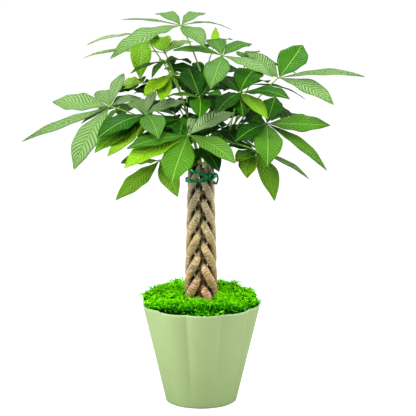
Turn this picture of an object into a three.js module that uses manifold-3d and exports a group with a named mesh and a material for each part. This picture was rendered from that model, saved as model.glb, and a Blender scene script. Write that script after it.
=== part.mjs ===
// Potted money tree: seven braided trunks in a fluted pot with moss, and palmate leaves.
// Millimetres, +Z up, the front of the plant toward -Y, the origin under the middle of the pot.
import * as THREE from "three";
import { mergeVertices } from "three/addons/utils/BufferGeometryUtils.js";
import Module from "manifold-3d";

const wasm = await Module();
wasm.setup();

// Pot
const potHeight = 130;
const potRimRadius = 77.5;
const potBaseRadius = 46;
const potFootRound = 2;
const potWall = 2.2;
const potFloor = 3;
const lobeCount = 10;
const lobeColumns = 6;
const firstLobe = -86.5;
const grooveAtRim = 4.5;
const grooveAtBase = 0.6;

// Soil and moss
const gap = 0.3;
const soilTop = 119;
const trunkHoleFloor = 100;
const trunkHole = { x: 24, y: 24.6 };
const mossRimRise = 7;
const mossMiddleRise = 11;
const mossLean = 6;
const mossHole = { x: 24.6, y: 25.2 };
const mossRings = 4;

// Braided trunk
const strandCount = 7;
const strandRadius = 6.1;
const strandPinch = 0.14;
const strandSides = 7;
const strandStep = 10.6;
const strandFoot = 100.3;
const strandTop = 313;
const braidPitch = 198;
const braidStart = 137;
const braidWidth = 16.4;
const braidDepth = 14.6;
const braidTaper = { from: 140, to: 300, least: 0.78 };

// Tie round the trunk
const tieHeight = 296;
const tieBand = { width: 4, thickness: 0.9 };
const tieReach = { x: 19.3, y: 19.3 };
const tieRise = 11;
const tieFall = 5.5;
const tieSteps = 18;

// Leaves
const bladeThickness = 1.4;
const bladeWidth = 0.37;
const bladeArch = 0.05;
const bladeFold = 0.12;
const bladeDroop = 0.03;
const bladeStations = [
  { at: 0.1, width: 0.14 },
  { at: 0.3, width: 0.7 },
  { at: 0.53, width: 1 },
  { at: 0.75, width: 0.76 },
  { at: 0.9, width: 0.3 },
];
const hubRadius = 2.6;
const stalkRadius = { foot: 1.7, tip: 1.25 };
const stemRadius = { foot: 3.4, tip: 1.6 };

const up = new THREE.Vector3(0, 0, 1);
const point = (x, y, z) => new THREE.Vector3(x, y, z);
const radians = (degrees) => (degrees * Math.PI) / 180;

// Closed body over a stack of rings, from a first point to a last one.
function skin(first, rings, last) {
  const sides = rings[0].length;
  const points = [first, ...rings.flat(), last];
  const end = points.length - 1;
  const lastRing = end - sides;
  const triangles = [];
  for (let j = 0; j < sides; j++) {
    const k = (j + 1) % sides;
    triangles.push(0, 1 + k, 1 + j);
    for (let a = 1; a < lastRing; a += sides) {
      const b = a + sides;
      if (j % 2) {
        triangles.push(a + j, a + k, b + k, a + j, b + k, b + j);
      } else {
        triangles.push(a + j, a + k, b + j, a + k, b + k, b + j);
      }
    }
    triangles.push(end, lastRing + j, lastRing + k);
  }
  return { points, triangles };
}

function solidOf({ points, triangles }) {
  const vertProperties = new Float32Array(points.flatMap((p) => [p.x, p.y, p.z]));
  const triVerts = new Uint32Array(triangles);
  return new wasm.Manifold(new wasm.Mesh({ numProp: 3, vertProperties, triVerts }));
}

function geometryOf(solid) {
  const { vertProperties, triVerts } = solid.getMesh();
  const geometry = new THREE.BufferGeometry();
  geometry.setAttribute("position", new THREE.BufferAttribute(vertProperties, 3));
  geometry.setIndex(new THREE.BufferAttribute(triVerts, 1));
  return geometry;
}

// Ring of points about a path's point, square to its direction.
function ringAbout(centre, direction, radius, sides) {
  const side = new THREE.Vector3(0, 1, 0).cross(direction).normalize();
  const rise = direction.clone().cross(side);
  return Array.from({ length: sides }, (_, j) => {
    const angle = (2 * Math.PI * j) / sides;
    return centre
      .clone()
      .addScaledVector(side, radius * Math.cos(angle))
      .addScaledVector(rise, radius * Math.sin(angle));
  });
}

// Tube along a curve, its radius going from one end's to the other's.
function tubeAlong(curve, from, to, sides, steps, start = curve.getTangent(0)) {
  const rings = Array.from({ length: steps + 1 }, (_, i) => {
    const radius = from + ((to - from) * i) / steps;
    const direction = i ? curve.getTangent(i / steps) : start;
    return ringAbout(curve.getPoint(i / steps), direction, radius, sides);
  });
  return skin(curve.getPoint(0), rings, curve.getPoint(1));
}

// Radius of the fluted wall at a height and angle, some way in from the outer face.
function wallRadius(height, angle, inset = 0) {
  const share = height / potHeight;
  const full = potBaseRadius + (potRimRadius - potBaseRadius) * share;
  const depth = grooveAtBase + (grooveAtRim - grooveAtBase) * share;
  const lobe = 360 / lobeCount;
  const turn = (((angle - firstLobe) / lobe) % 1 + 1.5) % 1;
  return full - depth * (2 * turn - 1) ** 2 - inset;
}

// Ring of the pot's outline at a height, its points in step with the lobes.
function potRing(height, inset, lift = height) {
  const columns = lobeCount * lobeColumns;
  return Array.from({ length: columns }, (_, j) => {
    const angle = firstLobe + (360 * j) / columns;
    const radius = wallRadius(height, angle, inset);
    return point(radius * Math.cos(radians(angle)), radius * Math.sin(radians(angle)), lift);
  });
}

function makePot() {
  const rings = [
    potRing(0, potFootRound),
    potRing(potFootRound, 0),
    potRing(potHeight - 1, 0),
    potRing(potHeight, 0.6),
    potRing(potHeight, potWall - 0.4),
    potRing(potHeight - 1, potWall),
    potRing(soilTop, potWall),
    potRing(potFloor, potWall),
  ];
  return solidOf(skin(point(0, 0, 0), rings, point(0, 0, potFloor)));
}

// Upright oval plug that leaves a plain hole.
function ovalPlug({ x, y }, from, to) {
  const shape = new THREE.EllipseCurve(0, 0, x, y);
  const ring = (z) => shape.getPoints(32).slice(0, 32).map((p) => point(p.x, p.y, z));
  return solidOf(skin(point(0, 0, from), [ring(from), ring(to)], point(0, 0, to)));
}

function makeSoil() {
  const inset = potWall + gap;
  const foot = potFloor + gap;
  const rings = [potRing(foot, inset), potRing(soilTop, inset)];
  rings.forEach((ring) => ring.push(ring.shift()));
  const body = solidOf(skin(point(0, 0, foot), rings, point(0, 0, soilTop)));
  return body.subtract(ovalPlug(trunkHole, trunkHoleFloor, soilTop + 5));
}

// Clumped mound that fills the mouth of the pot and swells a little over its rim.
function makeMoss() {
  const inset = potWall + gap;
  const foot = soilTop + gap;
  const clump = (angle, radius) => {
    const turn = radians(angle);
    const broad = Math.sin(5 * turn + 1) * Math.cos(radius / 9);
    const small = Math.sin(11 * turn + radius / 6) + Math.cos(17 * turn - radius / 5);
    return 1.6 * broad + 0.9 * small;
  };
  const mound = (share) => {
    const rings = potRing(potHeight, inset);
    return rings.map((p) => {
      const edge = Math.hypot(p.x, p.y) + 1.2;
      const angle = (Math.atan2(p.y, p.x) * 180) / Math.PI;
      const radius = edge * share;
      const rise = mossRimRise + (mossMiddleRise - mossRimRise) * (1 - share ** 2);
      const lean = (mossLean * share * p.y) / edge;
      const lump = clump(angle, radius) * Math.min(1, 4 * (1.05 - share));
      return point((p.x / edge) * radius, (p.y / edge) * radius, potHeight + rise + lean + lump);
    });
  };
  const rings = [
    potRing(foot, inset),
    potRing(potHeight + gap, inset),
    potRing(potHeight + gap, inset - 1.6, potHeight + 2),
  ];
  for (let i = 0; i < mossRings; i++) {
    rings.push(mound(1 - i / (mossRings + 1)));
  }
  const top = point(0, 0, potHeight + mossMiddleRise);
  const body = solidOf(skin(point(0, 0, foot), rings, top));
  return body.subtract(ovalPlug(mossHole, foot - 5, potHeight + 40));
}

// Middle of a braided strand at a height: a flat figure eight, seen from above.
function strandPoint(index, height) {
  const { from, to, least } = braidTaper;
  const share = THREE.MathUtils.clamp((height - from) / (to - from), 0, 1);
  const size = 1 - (1 - least) * share;
  const turn = 2 * Math.PI * ((height - braidStart) / braidPitch + index / strandCount);
  const x = Math.cos(turn) - 0.02 * Math.cos(3 * turn) - 0.03 * Math.cos(5 * turn);
  const y = 0.34 * Math.sin(4 * turn) - 0.1 * Math.sin(6 * turn) - Math.sin(2 * turn);
  const radius = strandRadius * (1 - strandPinch * Math.sin(turn) ** 2);
  const centre = point(size * braidWidth * x, size * braidDepth * y, height);
  return { centre, radius: size * radius };
}

function makeStrand(index) {
  const steps = Math.round((strandTop - strandFoot) / strandStep);
  const height = (i) => strandFoot + ((strandTop - strandFoot) * i) / steps;
  const rings = [];
  for (let i = 0; i <= steps; i++) {
    const { centre, radius } = strandPoint(index, height(i));
    const ahead = strandPoint(index, height(i) + 0.5).centre;
    const behind = strandPoint(index, height(i) - 0.5).centre;
    const level = i === 0 || i === steps;
    const direction = level ? up : ahead.sub(behind).normalize();
    rings.push(ringAbout(centre, direction, radius, strandSides));
  }
  const foot = strandPoint(index, strandFoot).centre;
  return solidOf(skin(foot, rings, strandPoint(index, strandTop).centre));
}

// Flat band twice round the trunk, its turns parting to the left, with a looped end.
function makeTie() {
  const { width, thickness } = tieBand;
  const band = (rise) => {
    const rings = [];
    for (let i = 0; i <= tieSteps; i++) {
      const turn = (2 * Math.PI * i) / tieSteps;
      const x = Math.cos(turn);
      const y = Math.sin(turn);
      const z = tieHeight + rise * (1 - x) * 0.5;
      const near = point(tieReach.x * x, tieReach.y * y, z);
      const far = point((tieReach.x + thickness) * x, (tieReach.y + thickness) * y, z);
      const low = new THREE.Vector3(0, 0, -width / 2);
      const high = new THREE.Vector3(0, 0, width / 2);
      rings.push([near.clone().add(low), near.clone().add(high), far.clone().add(high), far.add(low)]);
    }
    return rings;
  };
  const loop = (rings) => {
    const points = rings.slice(0, -1).flat();
    const count = points.length;
    const triangles = [];
    for (let a = 0; a < count; a += 4) {
      for (let j = 0; j < 4; j++) {
        const k = (j + 1) % 4;
        const b = (a + 4) % count;
        triangles.push(a + j, a + k, b + j, a + k, b + k, b + j);
      }
    }
    return solidOf({ points, triangles });
  };
  const knotPath = new THREE.CatmullRomCurve3([
    point(tieReach.x - 5.3, -15.6, tieHeight - 0.5),
    point(tieReach.x - 2.3, -15, tieHeight + 4),
    point(tieReach.x + 1.2, -10.5, tieHeight + 3),
    point(tieReach.x + 2.2, -7, tieHeight - 4),
    point(tieReach.x, -10.8, tieHeight - 9),
    point(tieReach.x - 2.8, -14.6, tieHeight - 5.5),
  ]);
  const knot = solidOf(tubeAlong(knotPath, 1.3, 0.9, 5, 8));
  return loop(band(-tieFall)).add(loop(band(tieRise))).add(knot);
}

// Leafy stems. Each stands on its own strand and carries palmate leaves: a stalk leaves the
// stem at a share of its length and ends at the leaf's hub, from which the leaflets spread.
// A leaf faces up, tilted toward a heading. A leaflet is [heading, pitch, length], and then its
// width, arch, droop and sway as shares of that length where they differ from the usual ones.
// Headings turn from +X toward +Y, in degrees.
const leafyStems = {
  crown_left_low: {
    strand: 5,
    path: [[-17, -14, 335], [-26, -18, 352]],
    leaves: [
      { at: 0.7, hub: [-114, -25, 388], face: [-100, 35], leaflets: [
        [152, 1.7, 88, 0.37, 0.012, 0.03, 0.004], [-161, -15.6, 121, 0.13, 0.02, 0.08, 0.034],
        [-117, -34.9, 111, 0.3, -0.009, 0.06, -0.049], [79, 24.7, 85, 0.19], [59, 3.5, 75, 0.3],
        [106, 11, 70, 0.3]] },
      { at: 1, hub: [-68, -50, 382], face: [-100, 25], leaflets: [
        [-76, -14.5, 75, 0.42], [44, 9.4, 70, 0.32], [80, 20.5, 65, 0.2], [111, 10, 60],
        [-134, -13.5, 86, 0.42], [-132, -20.8, 98, 0.31, -0.009, 0.05, -0.014],
        [-119, -22.6, 100, 0.22, -0.056, 0.03, -0.009], [103, -40, 60, 0.3]] },
      { at: 0.35, hub: [-52, -30, 320], face: [-100, 35], leaflets: [
        [-128, 6.5, 75, 0.31, 0.006, 0.03, -0.023], [-139, -29.5, 83, 0.32, 0.021, 0.03, 0.031],
        [-69, -27, 75, 0.33]] },
      { at: 0.9, hub: [-15, -85, 361], face: [-90, 30], leaflets: [
        [-103, -26.4, 96, 0.41, -0.032, 0.05, -0.019], [-49, -15, 90, 0.32, 0.027, 0.03, 0.027],
        [46, 14.9, 85, 0.33], [83, 17.2, 60, 0.17], [116, 8.9, 75, 0.38],
        [-139, -14.4, 105, 0.36, -0.017, 0.06, -0.069]] },
      { at: 0.95, hub: [-22, -42, 374], face: [-90, 25], leaflets: [
        [-15, -4, 58], [-95, -20, 55], [-165, -6, 50]] },
    ],
  },
  crown_left: {
    strand: 3,
    path: [[-14, 10, 360], [-26, 4, 402]],
    leaves: [
      { at: 1, hub: [-77, 35, 474], face: [-100, 5], leaflets: [
        [-138, -2.7, 89, 0.12, 0.013, 0.06, -0.013], [-88.9, -38, 81, 0.33],
        [173, -8.6, 63, 0.24, 0.02], [66, -15.2, 60, 0.25]] },
      { at: 0.9, hub: [-46, 30, 450], face: [-100, 15], leaflets: [
        [169, 0.2, 110, 0.12, 0.023, 0.1], [107, 11, 74, 0.5], [59, 8.5, 70, 0.3]] },
      { at: 0.95, hub: [-45, 5, 442], face: [-90, 10], leaflets: [
        [-120, -4, 84, 0.11, 0.021, 0.03, -0.008], [-103, -10.3, 70, 0.13], [62, -7.1, 70, 0.34],
        [85, -12, 60]] },
      { at: 0.8, hub: [-74, 25, 412], face: [-110, 35], leaflets: [
        [135, -13.7, 55, 0.5], [98, 0.7, 46, 0.3], [60, -10, 65]] },
      { at: 0.95, hub: [-38, 0, 423], face: [-90, 30], leaflets: [
        [-100, -18.9, 67, 0.27, -0.036, 0.03, -0.031], [-119, -13.6, 70, 0.3], [113, -15, 55],
        [71, 0, 40], [77, -21, 45]] },
      { at: 0.5, hub: [-84, 85, 378], spread: [140, 6, 84, -20] },
      { at: 0.3, hub: [-42, 84, 352], spread: [140, 4, 60, -20] },
    ],
  },
  crown_middle: {
    strand: 6,
    path: [[0, 2, 370], [0, -6, 428]],
    leaves: [
      { at: 1, hub: [-25, 5, 487], face: [-90, 12], leaflets: [
        [-139, -14.4, 120, 0.3, 0.061, 0.05, 0.03], [157, 4.6, 84, 0.09, 0.017, 0.03, -0.006],
        [115, 7.9, 80, 0.29], [67, 8.1, 80, 0.26], [40, -4.1, 87, 0.09, 0.047, 0.06, 0.024],
        [-69, -11.8, 85, 0.33]] },
      { at: 0.95, hub: [27, -25, 452], face: [-90, 25], leaflets: [
        [-101, -21.4, 85, 0.38], [-48, -10.6, 94, 0.22, 0.009, 0.03, 0.021], [62, 6.5, 85, 0.27],
        [102, 12, 75, 0.33], [-150, 9, 72, 0.2], [143, 3, 80, 0.2]] },
      { at: 0.7, hub: [-1, -60, 404], face: [-90, 30], leaflets: [
        [-90, -11.7, 70, 0.38], [126, -3.9, 75, 0.14], [101, 20, 86, 0.38], [72, 13.9, 70, 0.3],
        [-68, 10.1, 70, 0.3]] },
      { at: 0.85, hub: [17, 60, 455], face: [90, 10], leaflets: [
        [88, 13.2, 70, 0.15], [69, 3.2, 70, 0.13], [100, -6, 60, 0.3]] },
      { at: 0.6, hub: [-20, 120, 410], spread: [100, 6, 85, -20] },
      { at: 0.35, hub: [2, 42, 382], face: [-90, 10], leaflets: [
        [20, -8, 50], [80, -12, 55], [140, -8, 55], [-35, 0, 48]] },
    ],
  },
  crown_right_low: {
    strand: 2,
    path: [[22, -14, 335], [40, -14, 350]],
    leaves: [
      { at: 1, hub: [82, -50, 370], face: [-80, 38], leaflets: [
        [-8, 0.8, 80, 0.37, 0.023, 0.03, -0.028], [-31, -29.5, 100, 0.16, 0.019, 0.06, 0.031],
        [-91, -28.7, 85, 0.42], [-123, -9.1, 75, 0.3], [125, -3, 60], [77, 24.9, 65, 0.4]] },
      { at: 0.8, hub: [69, -20, 331], face: [-80, 25], leaflets: [
        [-73, -31.7, 91, 0.28, 0.035, 0.06, 0.018], [-44, -13.3, 94, 0.1, 0.009, 0.06, 0.041],
        [-116, -4, 60], [-100, -18.1, 71, 0.33, -0.009, 0.03, -0.071], [140, 4, 50]] },
      { at: 0.9, hub: [48, -30, 406], face: [-90, 25], leaflets: [
        [-114, -12, 75], [-64, -16, 80, 0.26], [-46, 2.2, 87, 0.3, 0.039, 0.05, 0.051],
        [70, 20, 75, 0.5], [109, 14, 65], [-86, -22, 60]] },
      { at: 0.95, hub: [98, -5, 422], face: [-80, 35], leaflets: [
        [65, 24.4, 89, 0.42, -0.012, 0.03, -0.005], [-31, 6.1, 121, 0.11, 0.01, 0.05, 0.05],
        [-48, -12.3, 100, 0.27, 0.024, 0.05, 0.048], [118, 17.9, 90, 0.27, 0.011, 0.03, -0.03],
        [132, 8, 60, 0.25]] },
      { at: 0.3, hub: [2, -27, 337], face: [-90, 30], leaflets: [
        [-72, -16.2, 70, 0.33], [-110, -20, 50], [-42, -7.9, 48, 0.34]] },
    ],
  },
  crown_right: {
    strand: 0,
    path: [[32, 10, 345], [52, 14, 375]],
    leaves: [
      { at: 0.95, hub: [57, 50, 438], face: [90, 10], leaflets: [
        [61, -3, 70, 0.22], [75, 5, 70, 0.26], [91, 5, 60], [10, -14, 72, 0.26]] },
      { at: 0.85, hub: [63, 25, 410], face: [-80, 10], leaflets: [
        [31, -13.2, 90, 0.14, 0.05, 0.06], [68, -3, 65], [120, -12, 70]] },
      { at: 0.7, hub: [98, 66, 370], spread: [50, 6, 62, -18] },
      { at: 0.5, hub: [64, 114, 378], spread: [60, 6, 78, -22] },
      { at: 0.3, hub: [46, 88, 338], spread: [65, 5, 60, -20] },
      { at: 0.15, hub: [10, 105, 340], spread: [85, 6, 80, -24] },
    ],
  },
};

// Leaflets of a leaf that opens evenly about a heading.
function evenLeaflets([heading, count, length, pitch]) {
  return Array.from({ length: count }, (_, i) => {
    const side = (2 * i) / (count - 1) - 1;
    const reach = length * (1 - 0.3 * side ** 2);
    return [heading + 150 * side, pitch + 10 * side ** 2, reach];
  });
}

// Unit vector from its heading and its pitch above the level.
function aim(heading, pitch) {
  const flat = Math.cos(radians(pitch));
  const x = flat * Math.cos(radians(heading));
  const y = flat * Math.sin(radians(heading));
  return point(x, y, Math.sin(radians(pitch)));
}

// One leaflet: a folded blade whose back arches over the line from hub to tip. Its tip droops,
// and it may sway to one side.
function makeLeaflet(hub, facing, leaflet) {
  const [heading, pitch, length, ...shares] = leaflet;
  const [width = bladeWidth, bow = bladeArch, droop = bladeDroop, sway = 0] = shares;
  const along = aim(heading, pitch);
  const rise = facing.clone().addScaledVector(along, -along.dot(facing)).normalize();
  const side = rise.clone().cross(along);
  const middle = (at) => {
    const swell = length * Math.sin(Math.PI * at);
    const centre = hub.clone().addScaledVector(along, length * at);
    centre.addScaledVector(rise, bow * swell - droop * length * at ** 4);
    return centre.addScaledVector(side, sway * swell);
  };
  const rings = bladeStations.map((station) => {
    const half = 0.5 * width * length * station.width;
    const centre = middle(station.at);
    const place = (across, lift) =>
      centre.clone().addScaledVector(side, across).addScaledVector(rise, lift);
    return [
      place(half, bladeFold * half),
      place(0, bladeThickness / 2),
      place(-half, bladeFold * half),
      place(0, -bladeThickness / 2),
    ];
  });
  return solidOf(skin(hub, rings, middle(1)));
}

function makeStem(strand, path) {
  const foot = strandPoint(strand, strandTop + gap).centre;
  const neck = foot.clone().add(point(0, 0, 8));
  const curve = new THREE.CatmullRomCurve3([foot, neck, ...path.map((p) => point(...p))]);
  const solid = solidOf(tubeAlong(curve, stemRadius.foot, stemRadius.tip, 6, 6, up));
  return { curve, solid };
}

function makeStalk(start, end) {
  const bend = start.clone().lerp(end, 0.5);
  bend.z += 0.12 * start.distanceTo(end);
  const curve = new THREE.QuadraticBezierCurve3(start, bend, end);
  return solidOf(tubeAlong(curve, stalkRadius.foot, stalkRadius.tip, 5, 4));
}

function makeHub(centre) {
  const knob = new THREE.IcosahedronGeometry(hubRadius, 0);
  knob.translate(centre.x, centre.y, centre.z);
  return solidOf(weld(knob));
}

function makeLeafyStem({ strand, path, leaves }) {
  const stem = makeStem(strand, path);
  const solids = [stem.solid];
  for (const { at, hub, face, leaflets, spread } of leaves) {
    const end = point(...hub);
    const [heading, tilt] = face ?? [(Math.atan2(hub[1], hub[0]) * 180) / Math.PI, 20];
    const facing = aim(heading, 90 - tilt);
    solids.push(makeStalk(stem.curve.getPoint(at), end), makeHub(end));
    for (const leaflet of leaflets ?? evenLeaflets(spread)) {
      solids.push(makeLeaflet(end, facing, leaflet));
    }
  }
  return wasm.Manifold.union(solids);
}

// Points and triangles of a ready-made geometry, its doubled corners joined.
function weld(geometry) {
  const bare = new THREE.BufferGeometry();
  bare.setAttribute("position", geometry.getAttribute("position"));
  const joined = mergeVertices(bare, 1e-3);
  const place = joined.getAttribute("position");
  const corner = (_, i) => point(0, 0, 0).fromBufferAttribute(place, i);
  return { points: Array.from({ length: place.count }, corner), triangles: [...joined.index.array] };
}

const finishes = {
  pot: { color: 0xaebf92, roughness: 0.6, metalness: 0 },
  soil: { color: 0x3b2a1d, roughness: 1, metalness: 0 },
  moss: { color: 0x6fa52e, roughness: 0.95, metalness: 0 },
  bark: { color: 0x9a7d58, roughness: 0.85, metalness: 0 },
  tie: { color: 0x3f7d3a, roughness: 0.4, metalness: 0 },
  leaf: { color: 0x3f7a35, roughness: 0.5, metalness: 0 },
};

const tree = new THREE.Group();
tree.name = "money_tree";

function addPiece(name, finish, solid) {
  const material = new THREE.MeshStandardMaterial({ ...finishes[finish], name: finish });
  const mesh = new THREE.Mesh(geometryOf(solid), material);
  mesh.name = name;
  tree.add(mesh);
}

addPiece("pot", "pot", makePot());
addPiece("soil", "soil", makeSoil());
addPiece("moss", "moss", makeMoss());
for (let i = 0; i < strandCount; i++) {
  addPiece(`strand_${i + 1}`, "bark", makeStrand(i));
}
addPiece("tie", "tie", makeTie());
for (const [name, stem] of Object.entries(leafyStems)) {
  addPiece(name, "leaf", makeLeafyStem(stem));
}

export default tree;
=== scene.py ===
import math
import random

import bmesh
import bpy
from mathutils import Matrix, Vector, noise


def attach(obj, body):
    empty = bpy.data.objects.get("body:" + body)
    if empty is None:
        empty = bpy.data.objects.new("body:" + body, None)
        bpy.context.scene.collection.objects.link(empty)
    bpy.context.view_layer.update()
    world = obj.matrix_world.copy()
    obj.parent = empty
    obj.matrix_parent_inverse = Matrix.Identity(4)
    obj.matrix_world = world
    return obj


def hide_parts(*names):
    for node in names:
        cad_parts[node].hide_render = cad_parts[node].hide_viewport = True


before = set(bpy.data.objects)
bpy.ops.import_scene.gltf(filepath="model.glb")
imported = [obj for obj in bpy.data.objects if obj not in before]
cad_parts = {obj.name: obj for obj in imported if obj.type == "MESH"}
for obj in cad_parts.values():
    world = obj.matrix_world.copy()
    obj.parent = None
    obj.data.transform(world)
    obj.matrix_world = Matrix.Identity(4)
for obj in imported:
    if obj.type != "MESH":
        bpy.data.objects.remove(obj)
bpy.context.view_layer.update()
scene = bpy.context.scene
mm = 0.001

# Camera and light
view = {
    "place": (0.00896, -2.25926, 0.68470),
    "target": (0.00896, 0, 0.25372),
    "lens": 155.5, "sensor": 36,
}

studio = {
    "level": 0.04, "above": 0.25, "lampTarget": (0, 0, 0.28),
    "floorSize": 12, "floorShade": 0.24, "floorGlow": 0.96,
    "lamps": [
        # name, place, watts, size
        ("leftLamp", (-1.6, -0.85, 0.9), 34, 0.8),
        ("rightLamp", (1.65, -0.6, 1.05), 33, 0.7),
        ("frontLamp", (-0.6, -1.9, 1.4), 18, 0.35),
        ("topLamp", (-0.2, -0.3, 2.0), 30, 1.0),
        ("backLamp", (0.0, 1.0, 1.9), 16, 0.6),
        ("leftBackLamp", (-1.2, 1.5, 0.3), 11, 0.8),
        ("rightBackLamp", (1.2, 1.5, 0.3), 9, 0.8),
    ],
}


def link(thing):
    scene.collection.objects.link(thing)
    return thing


def aimAt(thing, place, target):
    thing.location = place
    toward = Vector(target) - Vector(place)
    thing.rotation_euler = toward.to_track_quat("-Z", "Y").to_euler()


camera = link(bpy.data.objects.new("camera", bpy.data.cameras.new("camera")))
camera.data.lens = view["lens"]
camera.data.sensor_width = view["sensor"]
aimAt(camera, view["place"], view["target"])
scene.camera = camera

for name, place, watts, size in studio["lamps"]:
    lamp = link(bpy.data.objects.new(name, bpy.data.lights.new(name, "AREA")))
    lamp.data.energy = watts
    lamp.data.size = size
    aimAt(lamp, place, studio["lampTarget"])

scene.view_settings.view_transform = "Standard"


# Helpers for material nodes
def addNode(tree, kind, values=(), **settings):
    node = tree.nodes.new(kind)
    for name, value in settings.items():
        setattr(node, name, value)
    for socket, value in dict(values).items():
        if isinstance(value, bpy.types.NodeSocket):
            tree.links.new(value, node.inputs[socket])
        else:
            node.inputs[socket].default_value = value
    return node


def maths(tree, operation, a, b=0.0, clamp=False):
    return addNode(tree, "ShaderNodeMath", {0: a, 1: b}, operation=operation, use_clamp=clamp).outputs[0]


def times(tree, *factors):
    product = factors[0]
    for factor in factors[1:]:
        product = maths(tree, "MULTIPLY", product, factor)
    return product


def remap(tree, value, low, high, toLow=0.0, toHigh=1.0):
    values = {"Value": value, "From Min": low, "From Max": high, "To Min": toLow, "To Max": toHigh}
    return addNode(tree, "ShaderNodeMapRange", values, interpolation_type="SMOOTHSTEP").outputs[0]


def blendColors(tree, factor, a, b, how="MIX"):
    node = addNode(tree, "ShaderNodeMix", {0: factor, 6: a, 7: b}, data_type="RGBA", blend_type=how)
    return node.outputs[2]


def paintOver(tree, color, mask, paint):
    return blendColors(tree, mask, color, (*paint, 1))


def colorRamp(tree, value, stops):
    node = addNode(tree, "ShaderNodeValToRGB", {"Fac": value})
    ramp = node.color_ramp
    while len(ramp.elements) < len(stops):
        ramp.elements.new(0.5)
    for element, (place, color) in zip(ramp.elements, stops):
        element.position = place
        element.color = (*color, 1)
    return node.outputs["Color"]


def ridges(tree, phase):
    # 1 at each whole number of the phase, 0 halfway between them
    centred = maths(tree, "SUBTRACT", maths(tree, "FRACT", phase), 0.5)
    return times(tree, maths(tree, "ABSOLUTE", centred), 2.0)


def noiseOn(tree, vector, scale, detail):
    values = {"Vector": vector, "Scale": scale, "Detail": detail, "Roughness": 0.55}
    return addNode(tree, "ShaderNodeTexNoise", values).outputs["Fac"]


def streaks(tree, chart, across, along):
    # noise drawn out over a stem's map
    values = {"Vector": chart, "Scale": (across, along, 1)}
    drawn = addNode(tree, "ShaderNodeMapping", values).outputs["Vector"]
    return noiseOn(tree, drawn, 1.0, 1.0)


def makeWorld():
    # soft white tent, brightest overhead
    tent = bpy.data.worlds.new("studio")
    tent.use_nodes = True
    tree = tent.node_tree
    toward = addNode(tree, "ShaderNodeTexCoord").outputs["Generated"]
    height = addNode(tree, "ShaderNodeSeparateXYZ", {0: toward}).outputs["Z"]
    lift = times(tree, maths(tree, "MAXIMUM", height, 0.0), studio["above"])
    back = tree.nodes["Background"]
    back.inputs["Color"].default_value = (1, 1, 1, 1)
    tree.links.new(maths(tree, "ADD", lift, studio["level"]), back.inputs["Strength"])
    scene.world = tent


makeWorld()
print("camera and light set")


def newGroup(name, place, numbers, results):
    # node group with a vector and some numbers going in, and numbers coming out
    tree = bpy.data.node_groups.new(name, "ShaderNodeTree")
    tree.interface.new_socket(place, in_out="INPUT", socket_type="NodeSocketVector")
    for socket, value in numbers.items():
        made = tree.interface.new_socket(socket, in_out="INPUT", socket_type="NodeSocketFloat")
        made.default_value = value
    for socket in results:
        tree.interface.new_socket(socket, in_out="OUTPUT", socket_type="NodeSocketFloat")
    return tree, tree.nodes.new("NodeGroupInput").outputs, tree.nodes.new("NodeGroupOutput").inputs


def useGroup(tree, group, values):
    return addNode(tree, "ShaderNodeGroup", values, node_tree=group).outputs


def newFinish(name, **fixed):
    material = bpy.data.materials.new(name)
    material.use_nodes = True
    tree = material.node_tree
    shader = tree.nodes["Principled BSDF"]
    for socket, value in fixed.items():
        shader.inputs[socket.replace("_", " ")].default_value = value
    return material, tree, shader


def bumpInto(tree, shader, height, distance):
    bump = addNode(tree, "ShaderNodeBump", {"Height": height, "Distance": distance, "Strength": 1.0})
    tree.links.new(bump.outputs["Normal"], shader.inputs["Normal"])


# Effects shared by materials
def makeGrain():
    # fine even grain, and broad soft patches for colour
    tree, given, result = newGroup(
        "surfaceGrain", "Place", {"Fine": 900.0, "Broad": 18.0}, ("Grain", "Patches"))
    tree.links.new(noiseOn(tree, given["Place"], given["Fine"], 2.0), result["Grain"])
    tree.links.new(noiseOn(tree, given["Place"], given["Broad"], 3.0), result["Patches"])
    return tree


def makeVeins():
    # midrib and slanting side veins of a leaflet, from its own map
    tree, given, result = newGroup(
        "leafVeins", "Map", {"Pairs": 14.0, "Slant": 1.6}, ("Midrib", "Veins", "Relief"))
    parts = addNode(tree, "ShaderNodeSeparateXYZ", {0: given["Map"]}).outputs
    aside = maths(tree, "ABSOLUTE", maths(tree, "SUBTRACT", parts["X"], 0.5))
    offset = times(tree, aside, 2.0)
    taper = times(tree, parts["Y"], maths(tree, "SUBTRACT", 1.0, parts["Y"]), 4.0)
    reach = times(tree, offset, taper)
    tree.links.new(remap(tree, reach, 0.012, 0.05, 1.0, 0.0), result["Midrib"])
    curve = times(tree, maths(tree, "POWER", offset, 1.25), given["Slant"])
    wave = ridges(tree, maths(tree, "SUBTRACT", times(tree, parts["Y"], given["Pairs"]), curve))
    fade = remap(tree, offset, 0.8, 1.0, 1.0, 0.2)
    tree.links.new(times(tree, remap(tree, wave, 0.72, 1.0), fade), result["Veins"])
    pillow = maths(tree, "SUBTRACT", 1.0, maths(tree, "POWER", wave, 2.5))
    tree.links.new(times(tree, pillow, remap(tree, reach, 0.0, 0.12), fade), result["Relief"])
    return tree


grain = makeGrain()
veins = makeVeins()


# Helpers for shapes
def startMesh():
    bm = bmesh.new()
    bm.loops.layers.uv.new("map")
    return bm


def wrapGrid(bm, columns, rows, shape):
    # flat grid whose points go to shape(across, along), each from 0 to 1
    made = bmesh.ops.create_grid(bm, x_segments=columns, y_segments=rows, size=0.5, calc_uvs=True)["verts"]
    for vert in made:
        vert.co = shape(vert.co.x + 0.5, vert.co.y + 0.5)
    return made


def closeUp(bm, verts=None):
    bmesh.ops.remove_doubles(bm, verts=verts or bm.verts, dist=1e-6)


def between(low, high, share):
    return low + (high - low) * share


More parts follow.
